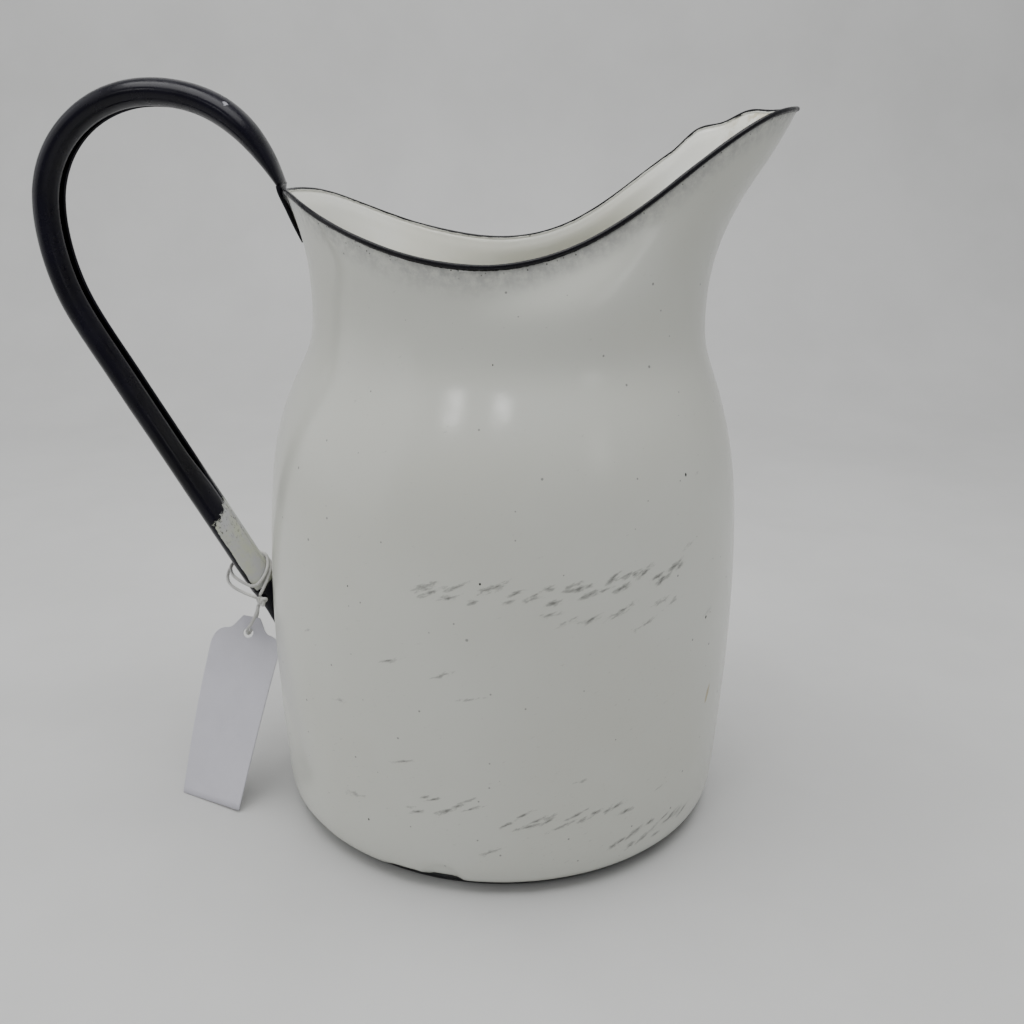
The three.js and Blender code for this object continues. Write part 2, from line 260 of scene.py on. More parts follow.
# The rim's half outline from beside the spout to beside the handle, its tip and its back.
RIM_HALF = [
    (95.5, 18, 260.2),
    (84, 34.5, 257.4),
    (60.5, 48, 243.1),
    (29.5, 59, 221.9),
    (-4, 69, 212.5),
    (-35.5, 66, 216.7),
    (-60, 50, 226.2),
    (-70.5, 30, 230.8),
]
RIM_TIP = (99.8, 0, 260.6)
RIM_BACK = (-77, 0, 231.8)

# The far side of the rim has been knocked: two small kinks beside the spout and a low stretch.
# Distance towards the spout, half length and lift, in millimetres.
RIM_KNOCKS = [
    (91, 8, 1.5),
    (74, 9, 2.2),
    (25, 55, -2.2),
]


def rim_curve():
    """The rim: low at the sides, higher at the back, highest at the spout."""
    near = [(x, -y, z) for x, y, z in reversed(RIM_HALF)]
    return spline(np.array([RIM_TIP, *RIM_HALF, RIM_BACK, *near]) * MM, closed=True)


def rim_points(count):
    """Points round the rim with the directions out from it and along it."""
    at = evenly(rim_curve(), count, closed=True)
    for place, half_length, lift in RIM_KNOCKS:
        near_knock = 1 - smoothstep(abs(at[:, 0] - place * MM), 0, half_length * MM)
        at[:, 2] += lift * MM * near_knock * smoothstep(at[:, 1], 0.006, 0.03)
    along = unit(np.roll(at, -1, axis=0) - np.roll(at, 1, axis=0))
    out = unit(np.stack([along[:, 1], -along[:, 0], 0 * along[:, 0]], axis=1))
    return at, out, along


# The body's side below the neck: radius and height, in millimetres.
BODY_SIDE = [
    (79.2, 2.6),
    (81.0, 3.1),
    (83.6, 5.0),
    (85.3, 8.2),
    (86.1, 12.5),
    (86.6, 19),
    (87.4, 31),
    (88.6, 54),
    (89.2, 80),
    (88.6, 107),
    (86.4, 133.5),
    (82.9, 151),
    (76.4, 169),
    (72.0, 180.5),
]

# Knocks in the sheet, the first at the front lower corner: where, how wide, how deep and the part
# of the width that is flat.
BODY_KNOCKS = [
    (-20.5, -81.5, 5, 8.5, 1.3, 0.5),
    (-26, 84.6, 62, 17, 0.5, 0),
    (66, 57, 118, 15, 0.4, 0),
]

# Where the lower edge is bent up, in degrees round from the front: from where it starts to rise to
# where it is flat again, and its share of the lift.
EDGE_BENDS = [
    (-31, -26, -21, -17.5, 1),
    (-62, -57, -52, -46, 0.5),
]
EDGE_LIFT = 1.1 * MM


def body_lines(around, up):
    """The outside of the body as a grid of points, round it and then up it."""
    rim, out, _ = rim_points(around)
    angles = circle(around)
    everywhere, forward, ends = COLLAR_SLOPE
    lean = everywhere + forward * np.cos(angles) + ends * np.cos(2 * angles)
    grid = np.zeros((around, up, 3))
    for i, angle in enumerate(angles):
        round_here = np.array([math.cos(angle), math.sin(angle)])
        line = []
        for radius, height in BODY_SIDE:
            shift = NECK_SHIFT * smoothstep(height * MM, NECK_LOW, NECK_BOTTOM)
            line.append([shift + radius * MM * round_here[0], radius * MM * round_here[1], height * MM])
        neck = NECK_RADIUS * round_here
        start = np.array([NECK_SHIFT + neck[0], neck[1], COLLAR_START])
        end = rim[i] - np.array([0, 0, 0.6 * BEAD_RADIUS])
        rise = end[2] - start[2]
        start_pull = np.array([0, 0, COLLAR_PULL * rise])
        end_pull = unit(np.array([out[i][0] * lean[i], out[i][1] * lean[i], 1.0])) * rise
        for t in (0, 0.2, 0.4, 0.6, 0.8, 1):
            line.append(
                start * (2 * t**3 - 3 * t**2 + 1)
                + start_pull * (t**3 - 2 * t**2 + t)
                + end * (3 * t**2 - 2 * t**3)
                + end_pull * (t**3 - t**2)
            )
        # the rounded lower corner gets more points than its length alone would
        fine = evenly(spline(line), up * 4)
        corner, rest = fine[: up // 2], fine[up // 2 :]
        first = np.linspace(0, len(corner) - 1, up // 6).round().astype(int)
        last = np.linspace(0, len(rest) - 1, up - up // 6).round().astype(int)
        grid[i] = np.vstack([corner[first], rest[last]])
    return grid


def grid_normals(grid):
    around = np.roll(grid, -1, axis=0) - np.roll(grid, 1, axis=0)
    up = np.gradient(grid, axis=1)
    return unit(np.cross(around, up))


def dent(grid, normals, centre, radius, depth, flat_part):
    """Presses a shallow round hollow into the sheet, flat in its middle for part of its width."""
    distance = np.linalg.norm(grid - np.array(centre), axis=2)
    push = depth * (1 - smoothstep(distance, flat_part * radius, radius))
    grid -= normals * push[..., None]


def make_body(materials):
    around, up = 240, 140
    outside = body_lines(around, up)
    normals = grid_normals(outside)
    flat = outside.reshape(-1, 3)
    fade = smoothstep(outside[..., 2], 0.006, 0.03) * (1 - smoothstep(outside[..., 2], 0.19, 0.21))
    sway = wavy(flat, 0.045, 0.22 * MM, 3).reshape(around, up) * fade
    outside += normals * sway[..., None]
    for x, y, z, radius, depth, flat_part in BODY_KNOCKS:
        dent(outside, normals, (x * MM, y * MM, z * MM), radius * MM, depth * MM, flat_part)
    bearing = np.degrees(np.arctan2(outside[..., 0], -outside[..., 1]))
    near_edge = 1 - smoothstep(outside[..., 2], BODY_SIDE[0][1] * MM, 9 * MM)
    bent = 0
    for start, full, falling, stop, share in EDGE_BENDS:
        bent += share * smoothstep(bearing, start, full) * (1 - smoothstep(bearing, falling, stop))
    outside[..., 2] += EDGE_LIFT * bent * near_edge
    run = np.cumsum(np.linalg.norm(np.diff(outside, axis=1), axis=2), axis=1)
    below_rim = np.concatenate([run[:, -1:], run[:, -1:] - run], axis=1)
    thin = smoothstep(below_rim, 0, 5 * MM)
    thickness = 0.75 * BEAD_RADIUS + (WALL - 0.75 * BEAD_RADIUS) * thin
    inside = outside - grid_normals(outside) * thickness[..., None]
    hem_bottom = outside[:, :1, 2:]

    def ring(radius, height):
        angle = np.arctan2(outside[:, :1, 1:2], outside[:, :1, 0:1])
        level = np.maximum(hem_bottom + (height - BODY_SIDE[0][1]) * MM, 0)
        return np.concatenate([radius * MM * np.cos(angle), radius * MM * np.sin(angle), level], axis=2)

    hem = [ring(71, 3.7), ring(75, 3.7), ring(78.2, 3.7), ring(79.1, 3.3)]
    inner_hem = ring(71, 4.6)
    section = np.concatenate([*hem, outside, inside[:, ::-1], inner_hem], axis=1)
    faces = ring_faces(around, section.shape[1], closed=True)
    gap = np.concatenate(
        [below_rim[:, :1]] * len(hem) + [below_rim, below_rim[:, ::-1], below_rim[:, :1]], axis=1
    )
    piece = make_mesh(
        "jug_body", section.reshape(-1, 3), faces, JUG, ["body_shell"],
        materials, {"below_rim": gap.ravel()},
    )
    columns = section.shape[1]
    for index, polygon in enumerate(piece.data.polygons):
        polygon.material_index = int(index % columns >= up + len(hem))


def make_base(material):
    """A pressed disc with a folded edge, which the jug stands on."""
    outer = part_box("bottom_plate")[1].x
    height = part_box("bottom_plate")[1].z
    inner = outer - 4.5 * MM
    profile = [
        (0, 0),
        (30 * MM, 0),
        (60 * MM, 0),
        (outer - 3 * MM, 0),
        (outer - 1.0 * MM, 0.1 * MM),
        (outer - 0.3 * MM, 0.5 * MM),
        (outer, 1.2 * MM),
        (outer, height - 1.0 * MM),
        (outer - 0.4 * MM, height - 0.3 * MM),
        (outer - 1.2 * MM, height),
        (inner + 0.8 * MM, height),
        (inner + 0.1 * MM, height - 0.5 * MM),
        (inner - 0.5 * MM, 1.6 * MM),
        (inner - 1.5 * MM, 1.2 * MM),
        (30 * MM, 1.2 * MM),
        (0, 1.2 * MM),
    ]
    around = 160
    angles = circle(around)
    points = [(0, 0, 0), (0, 0, profile[-1][1])]
    middle = profile[1:-1]
    for radius, z in middle:
        points += [(radius * math.cos(a), radius * math.sin(a), z) for a in angles]
    quads = ring_faces(len(middle), around, True)[:-around]
    faces = [tuple(2 + i for i in quad) for quad in quads]
    last = 2 + (len(middle) - 1) * around
    for j in range(around):
        k = (j + 1) % around
        faces.append((0, 2 + k, 2 + j))
        faces.append((1, last + j, last + k))
    make_mesh("base_disc", points, faces, JUG, ["bottom_plate"], [material])


def make_rim(material):
    """The rolled edge, slightly uneven as hand-rolled sheet is."""
    around, sides = 420, 16
    at, out, along = rim_points(around)
    upward = np.cross(out, along)
    radius = BEAD_RADIUS + wavy(at, 0.012, 0.10 * MM, 7)
    turn = np.tile(circle(sides), around)
    make_mesh(
        "rim_roll", tube(at, out, upward, radius, sides), ring_faces(around, sides, True), JUG,
        ["rim_bead"], [material],
        {"turn_cos": np.cos(turn), "turn_sin": np.sin(turn)},
    )


# ------------------------------------------------------------------ handle

def handle_centreline():
    knee_x = CROWN_CENTRE[0] - CROWN_RADIUS + KNEE_RADIUS

    def knee(angle):
        return (
            knee_x - KNEE_RADIUS * math.cos(angle),
            CROWN_CENTRE[1] - KNEE_RADIUS * math.sin(angle),
        )

    foot, top = np.array(HANDLE_FOOT), np.array(knee(HANDLE_LEAN))
    points = [foot + (top - foot) * t for t in np.linspace(0, 1, 9)[:-1]]
    points += [knee(HANDLE_LEAN * (1 - i / 4)) for i in range(4)]
    for angle in np.radians(np.linspace(180, 90, 11)[:-1]):
        points.append((
            CROWN_CENTRE[0] + CROWN_RADIUS * math.cos(angle),
            CROWN_CENTRE[1] + CROWN_RADIUS * math.sin(angle),
        ))
    top = np.array([CROWN_CENTRE[0], CROWN_CENTRE[1] + CROWN_RADIUS])
    end = np.array(HANDLE_END)
    up_from_end = np.array([-math.sin(HANDLE_END_LEAN), math.cos(HANDLE_END_LEAN)])
    points += bezier(top, top + [CROWN_PULL, 0], end + up_from_end * END_PULL, end, 8)
    return spline(points)


def strap_section(thick, wide, slot):
    """An oval of sheet whose two edges are rolled in beside the slot that faces the body."""
    outer_steps, lip_steps = 44, 7
    outline, side = [], []
    half_slot = math.asin(slot / 2 / wide)
    for angle in np.linspace(half_slot, 2 * math.pi - half_slot, outer_steps):
        outline.append((thick * math.cos(angle), wide * math.sin(angle)))
        side.append(angle)
    inner_thick, inner_wide = thick - HANDLE_SHEET, wide - HANDLE_SHEET
    inner_slot = math.asin(slot / 2 / inner_wide)
    lip = (inner_thick * math.cos(inner_slot), inner_wide * math.sin(inner_slot))

    def roll(first, last, bulge, mark):
        for t in np.linspace(0, 1, lip_steps + 2)[1:-1]:
            middle = np.array(first) + (np.array(last) - np.array(first)) * t
            outline.append(tuple(middle + np.array([0, bulge * math.sin(math.pi * t)])))
            side.append(mark)

    bulge = min(0.45 * HANDLE_SHEET, 0.3 * slot)
    roll(outline[-1], (lip[0], -lip[1]), bulge, 2 * math.pi)
    for angle in np.linspace(2 * math.pi - inner_slot, inner_slot, outer_steps):
        outline.append((inner_thick * math.cos(angle), inner_wide * math.sin(angle)))
        side.append(INSIDE_STRAP)
    roll(outline[-1], outline[0], -bulge, 0.0)
    return np.array(outline), np.array(side)


def make_handle(material):
    steps = 240
    line = evenly(handle_centreline(), steps)
    length = gaps(line).sum()
    along = unit(np.gradient(line, axis=0))
    run = np.linspace(0, length, steps)
    to_end = np.clip(1 - (length - run) / HANDLE_TAPER, 0, 1) ** HANDLE_TAPER_POWER
    thick = HANDLE_HALF_THICKNESS + (HANDLE_END_HALF_THICKNESS - HANDLE_HALF_THICKNESS) * to_end
    wide = HANDLE_HALF_WIDTH + (HANDLE_END_HALF_WIDTH - HANDLE_HALF_WIDTH) * to_end
    # the slot is nearly shut over the bare lower end
    slot = HANDLE_SLOT * (0.12 + 0.88 * smoothstep(run, 38 * MM, 62 * MM))
    points, runs, sides = [], [], []
    for i in range(steps):
        outline, side = strap_section(thick[i], wide[i], slot[i])
        inward = np.array([along[i][1], -along[i][0]])
        for (x, y), s in zip(outline, side):
            points.append((line[i][0] + inward[0] * x, y, line[i][1] + inward[1] * x))
            runs.append(run[i])
            sides.append(s)
    count = len(outline)
    points = np.array(points)
    points[:, 1] += wavy(points, 0.016, 0.14 * MM, 11)
    make_mesh(
        "handle", points, ring_faces(steps, count, False), JUG,
        ["handle_strap"], [material], {"run": runs, "side": sides},
    )


def make_wedge(name, node, stations, sides, material, squareness):
    """A smooth lofted piece between an outer and an inner line in the handle's plane."""
    stations = np.array(stations, float)
    rows = spline(stations)(np.linspace(0, 1, 24))
    angles = circle(sides)
    points = []
    for outer_x, outer_z, inner_x, inner_z, half in rows:
        middle = np.array([outer_x + inner_x, outer_z + inner_z]) / 2
        reach = np.array([inner_x - outer_x, inner_z - outer_z]) / 2
        for angle in angles:
            c, s = math.cos(angle), math.sin(angle)
            c = math.copysign(abs(c) ** squareness, c)
            s = math.copysign(abs(s) ** squareness, s)
            points.append((
                (middle[0] + reach[0] * c) * MM,
                half * s * MM,
                (middle[1] + reach[1] * c) * MM,
            ))
    faces = ring_faces(len(rows), sides, False)
    make_mesh(name, points, faces, JUG, [node], [material])


def make_foot(material):
    stations = [
        (-99.1, 80.3, -90.7, 84.9, 8.8),
        (-97.1, 77.4, -88.4, 81.9, 8.5),
        (-94.6, 73.6, -87.6, 76.2, 7.5),
        (-92.2, 69, -87.9, 70, 6),
        (-89.9, 63.9, -88.3, 64.2, 3.8),
    ]
    make_wedge("handle_foot", "lower_foot", stations, 40, material, 1)


def make_tab(material):
    stations = [
        (-80.7, 233.2, -78.1, 234.5, 5.9),
        (-80.2, 231.2, -78.5, 231.5, 5.8),
        (-78.6, 227.4, -76.9, 227.9, 5.6),
        (-75.6, 220.6, -74.2, 221, 5.4),
        (-72.6, 214.1, -71.4, 214.4, 4.4),
    ]
    make_wedge("handle_tab", "upper_tab", stations, 32, material, 0.45)


# ------------------------------------------------------------------ string and tag

# The string's stops round the strap, as in the CAD: degrees round the strap from the front,
# distance off it and distance down it, in millimetres.
LOOP_STOPS = [
    (-2, 1.4, 6.3),
    (24, 1.2, 4.6),
    (58, 1.1, 2.4),
    (90, 1.1, 0.8),
    (125, 1.1, -0.9),
    (180, 1.2, -3.4),
    (228, 1.5, -5.8),
    (262, 2.6, -7.2),
    (296, 2.6, -4.6),
    (330, 1.4, -0.6),
    (360, 1.1, 1.9),
    (400, 1.1, 1.4),
    (450, 1.1, -1.3),
    (490, 1.1, -3.2),
    (540, 1.6, -5.4),
    (576, 3.2, -6.6),
    (614, 5.6, -5.6),
    (650, 5.6, -2.2),
    (680, 3.9, 1.6),
    (702, 3.2, 4.6),
    (712, 2.9, 6.2),
]

# The string's stops between the knot and the tag's hole: across the tag, up it, out of its
# front, in millimetres.
STRAND_STOPS = [
    (10.2, 11.9, 11.4),
    (7.5, 8.9, 8.3),
    (4.4, 5.6, 4.9),
    (1.6, 2.8, 2.4),
    (0.2, 1.2, 1.3),
    (0, 0.1, 0.95),
    (0, -0.35, 0),
    (0, 0.1, -0.95),
    (0.1, 1.4, -1.35),
    (0.7, 4.4, -1.5),
    (1.5, 7.6, -1),
    (3.2, 9.4, 1.6),
    (5.8, 11, 5.6),
    (8.6, 12.6, 8.8),
    (10.6, 13.2, 9.9),
]


def loop_route():
    down = np.array([math.sin(HANDLE_LEAN), -math.cos(HANDLE_LEAN)])
    centre = np.array(HANDLE_FOOT) - down * 4.5 * MM
    points = []
    for degrees, off, along in LOOP_STOPS:
        angle = math.radians(degrees)
        inward = (HANDLE_HALF_THICKNESS + off * MM) * math.sin(angle)
        points.append((
            centre[0] + down[0] * along * MM - down[1] * inward,
            -(HANDLE_HALF_WIDTH + off * MM) * math.cos(angle),
            centre[1] + down[1] * along * MM + down[0] * inward,
        ))
    return points


def tag_placement():
    """The tag's own directions as columns, x across it, y up it, z out of its front."""
    across = Vector((math.cos(TAG_TURN), -math.sin(TAG_TURN), 0))
    up = Vector((
        math.sin(TAG_TURN) * math.sin(TAG_LEAN),
        math.cos(TAG_TURN) * math.sin(TAG_LEAN),
        math.cos(TAG_LEAN),
    ))
    front = across.cross(up)
    hole = TAG_BOTTOM + up * TAG_BELOW
    turn = Matrix((across, up, front)).transposed().to_4x4()
    return Matrix.Translation(hole) @ turn


def strand_route():
    place = tag_placement()
    return [tuple(place @ (Vector(stop) * MM)) for stop in STRAND_STOPS]


def carried_frames(line):
    """Two directions square to a line at each of its points, turning as little as they can."""
    along = unit(np.gradient(line, axis=0))
    sides = [unit(np.cross(along[0], [0.3, 0.5, 0.8]))]
    for tangent in along[1:]:
        sides.append(unit(sides[-1] - tangent * np.dot(sides[-1], tangent)))
    sides = np.array(sides)
    return sides, np.cross(along, sides)


def twisted_string(name, line, body, node, material):
    """A three-ply string along a line: the plies wind round each other and round its middle."""
    plies, sides = 3, 9
    side_a, side_b = carried_frames(line)
    run = np.concatenate([[0], np.cumsum(gaps(line))])
    offset = 0.23 * STRING_DIAMETER
    radius = 0.28 * STRING_DIAMETER
    points, faces = [], []
    for ply in range(plies):
        phase = 2 * math.pi * (run / STRING_LAY + ply / plies)
        out = side_a * np.cos(phase)[:, None] + side_b * np.sin(phase)[:, None]
        other = side_b * np.cos(phase)[:, None] - side_a * np.sin(phase)[:, None]
        ends = np.minimum(run, run[-1] - run)
        here = radius * (0.55 + 0.45 * smoothstep(ends, 0, 0.6 * MM))
        base = len(points)
        points += list(tube(line + out * offset, out, other, here, sides))
        for face in ring_faces(len(line), sides, False):
            faces.append(tuple(base + index for index in face))
    return make_mesh(name, points, faces, body, [node], [material])


def make_strings(material):
    made = []
    for name, route, body, node in (
        ("tag_loop", loop_route(), JUG, "string_loop"),
        ("tag_strands", strand_route(), TAG_BODY, "string_strands"),
    ):
        line = evenly(spline(route), 420)
        length = gaps(line).sum()
        piece = twisted_string(name, line, body, node, material)
        made.append((piece, line, length))
    return made


def make_knot(material):
    """An overhand knot of the same string, pulled tight."""
    low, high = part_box("string_knot")
    centre = np.array((low + high) / 2)
    turns = circle(240)
    line = np.stack([
        np.sin(turns) + 1.7 * np.sin(2 * turns),
        0.9 * np.sin(3 * turns),
        np.cos(turns) - 1.7 * np.cos(2 * turns),
    ], axis=1)
    line = centre + line * 0.62 * MM
    sides = 12
    along = unit(np.roll(line, -1, axis=0) - np.roll(line, 1, axis=0))
    out = unit(line - centre)
    across = unit(np.cross(along, out))
    out = np.cross(across, along)
    points = tube(line, out, across, 0.5 * STRING_DIAMETER, sides)
    faces = ring_faces(len(line), sides, True)
    return make_mesh("tag_knot", points, faces, JUG, ["string_knot"], [material])


def tag_outline():
    """Half of the tag's outline, from the middle of its bottom edge round to the top."""
    side = TAG_WIDTH / 2
    half = [np.array([0.0, -TAG_BELOW])]
    half += [np.array([side * t, -TAG_BELOW]) for t in (0.33, 0.66, 1)]
    half += [np.array([side, y]) for y in np.linspace(-TAG_BELOW, -TAG_SHOULDER, 24)[1:]]
    shoulder = (side, -TAG_SHOULDER)
    lobe = (side - 5.6 * MM, 0.6 * MM)
    top = (side - 11 * MM, TAG_NECK)
    half += bezier(shoulder, (side, -2.6 * MM), (side - 2.4 * MM, 0.4 * MM), lobe, 10)[1:]
    half += bezier(lobe, (side - 8 * MM, 0.9 * MM), (side - 9 * MM, 4.4 * MM), top, 10)[1:]
    half.append(np.array([0.0, TAG_NECK]))
    return half


def make_tag(material):
    """Thin card with a punched hole, very slightly curled, its cut edges a little soft."""
    half = tag_outline()
    edge = np.array(half + [np.array([-x, y]) for x, y in reversed(half[1:-1])])
    count = len(edge)
    hole = TAG_HOLE_RADIUS * unit(edge)
    rows = [hole + (edge - hole) * t for t in np.linspace(0, 1, 26)]
    inset = 0.12 * MM
    shrink = rows[-1] + unit(rows[-2] - rows[-1]) * inset
    grow = rows[0] + unit(rows[1] - rows[0]) * inset
    rows[0], rows[-1] = grow, shrink

    def raised(row, z):
        return np.column_stack([row, np.full(count, z)])

    front = [raised(row, TAG_THICKNESS / 2) for row in rows]
    back = [raised(row, -TAG_THICKNESS / 2) for row in reversed(rows)]
    rings = np.array(front + [raised(edge, 0)] + back + [raised(hole, 0)])
    drop = np.clip(-rings[..., 1] / TAG_BELOW, 0, 1)
    twist = TAG_TWIST_TOP + (TAG_TWIST_BOTTOM - TAG_TWIST_TOP) * drop
    x, z = rings[..., 0].copy(), rings[..., 2].copy()
    rings[..., 0] = x * np.cos(twist) - z * np.sin(twist)
    rings[..., 2] = x * np.sin(twist) + z * np.cos(twist) + TAG_BOW * np.sin(math.pi * drop)
    place = tag_placement()
    points = [place @ Vector(p) for p in rings.reshape(-1, 3)]
    faces = ring_faces(len(rings), count, True)
    make_mesh("tag_card", points, faces, TAG_BODY, ["paper_tag"], [material])


# ------------------------------------------------------------------ material helpers

class Nodes:
    """Builds one material's nodes, with short names for what is used often."""

    def __init__(self, name):
        self.material = bpy.data.materials.new(name)
        self.material.use_nodes = True
        self.tree = self.material.node_tree
        self.shader = self.tree.nodes["Principled BSDF"]
        self.place = self.add("ShaderNodeTexCoord").outputs["Object"]

    def add(self, kind, **settings):
        node = self.tree.nodes.new(kind)
        for key, value in settings.items():
            setattr(node, key, value)
        return node

    def link(self, value, socket):
        if hasattr(value, "is_output"):
            self.tree.links.new(value, socket)
        else:
            socket.default_value = value

    def math(self, operation, a, b=0.0):
        node = self.add("ShaderNodeMath", operation=operation)
        for value, socket in zip((a, b), node.inputs):
            self.link(value, socket)
        return node.outputs[0]

    def times(self, a, b):
        return self.math("MULTIPLY", a, b)

    def plus(self, value, other, share=None):
        """A value with another, or a share of it, added."""
        return self.math("ADD", value, other if share is None else self.times(other, share))

    def noise(self, scale, detail, rough, place=None):
        node = self.add("ShaderNodeTexNoise")
        self.link(place or self.place, node.inputs["Vector"])
        node.inputs["Scale"].default_value = scale
        node.inputs["Detail"].default_value = detail
        node.inputs["Roughness"].default_value = rough
        return node.outputs["Fac"]

    def cells(self, scale):
        node = self.add("ShaderNodeTexVoronoi")
        self.link(self.place, node.inputs["Vector"])
        node.inputs["Scale"].default_value = scale
        return node.outputs

    def ramp(self, value, low, high, start=0.0, end=1.0):
        node = self.add("ShaderNodeMapRange", interpolation_type="SMOOTHSTEP")
        self.link(value, node.inputs["Value"])
        for key, number in zip(("From Min", "From Max", "To Min", "To Max"), (low, high, start, end)):
            node.inputs[key].default_value = number
        return node.outputs[0]

    def mapped(self, place, location=(0, 0, 0), rotation=(0, 0, 0), scale=(1, 1, 1), kind="POINT"):
        node = self.add("ShaderNodeMapping", vector_type=kind)
        self.link(place, node.inputs["Vector"])
        node.inputs["Location"].default_value = location
        node.inputs["Rotation"].default_value = rotation
        node.inputs["Scale"].default_value = scale
        return node.outputs[0]

    def ball(self, place, centre, rotation, reach):
        """1 at the centre, falling to 0 at the reach along each axis."""
        moved = self.mapped(place, centre, rotation, reach, "TEXTURE")
        node = self.add("ShaderNodeTexGradient", gradient_type="SPHERICAL")
        self.link(moved, node.inputs[0])
        return node.outputs["Fac"]

    def mix(self, factor, a, b):
        node = self.add("ShaderNodeMix", data_type="RGBA")
        self.link(factor, node.inputs["Factor"])
        self.link(a, node.inputs["A"])
        self.link(b, node.inputs["B"])
        return node.outputs["Result"]

    def attribute(self, name):
        return self.add("ShaderNodeAttribute", attribute_name=name).outputs["Fac"]

    def axes(self):
        node = self.add("ShaderNodeSeparateXYZ")
        self.link(self.place, node.inputs[0])
        return node.outputs

    def bump(self, height, distance, strength):
        node = self.add("ShaderNodeBump")
        node.inputs["Strength"].default_value = strength
        node.inputs["Distance"].default_value = distance
        self.link(height, node.inputs["Height"])
        return node.outputs[0]

    def most(self, values):
        total = values[0]
        for value in values[1:]:
            total = self.math("MAXIMUM", total, value)
        return total

    def finish(self, color, roughness, normal=None, **sockets):
        self.link(color, self.shader.inputs["Base Color"])
        self.link(roughness, self.shader.inputs["Roughness"])
        if normal is not None:
            self.link(normal, self.shader.inputs["Normal"])
        for key, value in sockets.items():
            self.shader.inputs[key.replace("_", " ")].default_value = value
        return self.material


WHITE = (0.665, 0.675, 0.615, 1)
WARM_WHITE = (0.635, 0.64, 0.575, 1)
# the inside's whites are painted brighter than the outside's white: painted light, standing in for the
# light that fills the mouth
INNER_WHITE_WITH_PAINTED_LIGHT = (0.86, 0.865, 0.81, 1)
INNER_WARM_WITH_PAINTED_LIGHT = (0.80, 0.795, 0.71, 1)
BLACK = (0.003, 0.0027, 0.005, 1)
NAVY = (0.005, 0.0044, 0.011, 1)
SCUFF = (0.115, 0.115, 0.11, 1)
HAZE = (0.20, 0.195, 0.215, 1)
CHIP = (0.012, 0.011, 0.010, 1)
STAIN = (0.42, 0.34, 0.16, 1)


# ------------------------------------------------------------------ materials

# Rubbed bands on the front of the body, where it has been knocked on a shelf's edge: from and to in
# degrees round from the front, height and its scatter in millimetres, the number of strokes, and
# how dark they are.
RUBBED_BANDS = [
    (-18, 20, 114, 3, 15, 0.85),
    (20, 43, 115, 3, 11, 1),
    (8, 42, 103, 5, 8, 0.5),
    (-22, -5, 36, 4, 8, 0.9),
    (0, 30, 31, 4, 12, 0.85),
    (26, 52, 16, 4, 12, 1),
    (-50, 55, 70, 55, 16, 0.55),
]
STROKE_RISE = (8, 28)  # degrees above level, as a rubbed mark runs up to the right
STROKE_LENGTH = (6, 15)  # millimetres
STROKE_WIDTH = (1.2, 2.4)

# Chips through the enamel: how many, how far they spread round and up the body, and how big.
CHIP_COUNT = 16
CHIP_DEGREES = (-180, 180)
CHIP_HEIGHTS = (15, 195)
CHIP_RADII = (0.3, 0.65)

SCALE_RADIUS = 0.088  # turns an angle round the body into a distance on its skin


def skin_place(nodes):
    """Coordinates on the body's skin: distance round it from the front, height, and nothing."""
    x, y, z = nodes.axes()
    front = nodes.times(y, -1.0)
    angle = nodes.math("ARCTAN2", x, front)
    joined = nodes.add("ShaderNodeCombineXYZ")
    nodes.link(nodes.times(angle, SCALE_RADIUS), joined.inputs[0])
    nodes.link(z, joined.inputs[1])
    return joined.outputs[0]


def spot(nodes, place, degrees, height, length, width, slope=0.0):
    """1 in the middle of an oval mark on the skin, falling to 0 at its edge."""
    centre = (math.radians(degrees) * SCALE_RADIUS, height * MM, 0)
    scale = (length * MM / 2, width * MM / 2, 1)
    return nodes.ball(place, centre, (0, 0, math.radians(slope)), scale)


def scattered_strokes(pick):
    """Strokes for every rubbed band: degrees, height, length, width, rise and darkness."""
    strokes = []
    for start, stop, height, spread, count, dark in RUBBED_BANDS:
        for i in range(count):
            along = (i + pick.uniform(0.1, 0.9)) / count
            strokes.append((
                start + (stop - start) * along,
                height + pick.uniform(-spread, spread),
                pick.uniform(*STROKE_LENGTH),
                pick.uniform(*STROKE_WIDTH),
                pick.uniform(*STROKE_RISE),
                dark * pick.uniform(0.7, 1),
            ))
    return strokes


def scattered_chips(pick):
    """Chips all round the body: degrees, height and radius."""
    return [
        (pick.uniform(*CHIP_DEGREES), pick.uniform(*CHIP_HEIGHTS), pick.uniform(*CHIP_RADII))
        for _ in range(CHIP_COUNT)
    ]


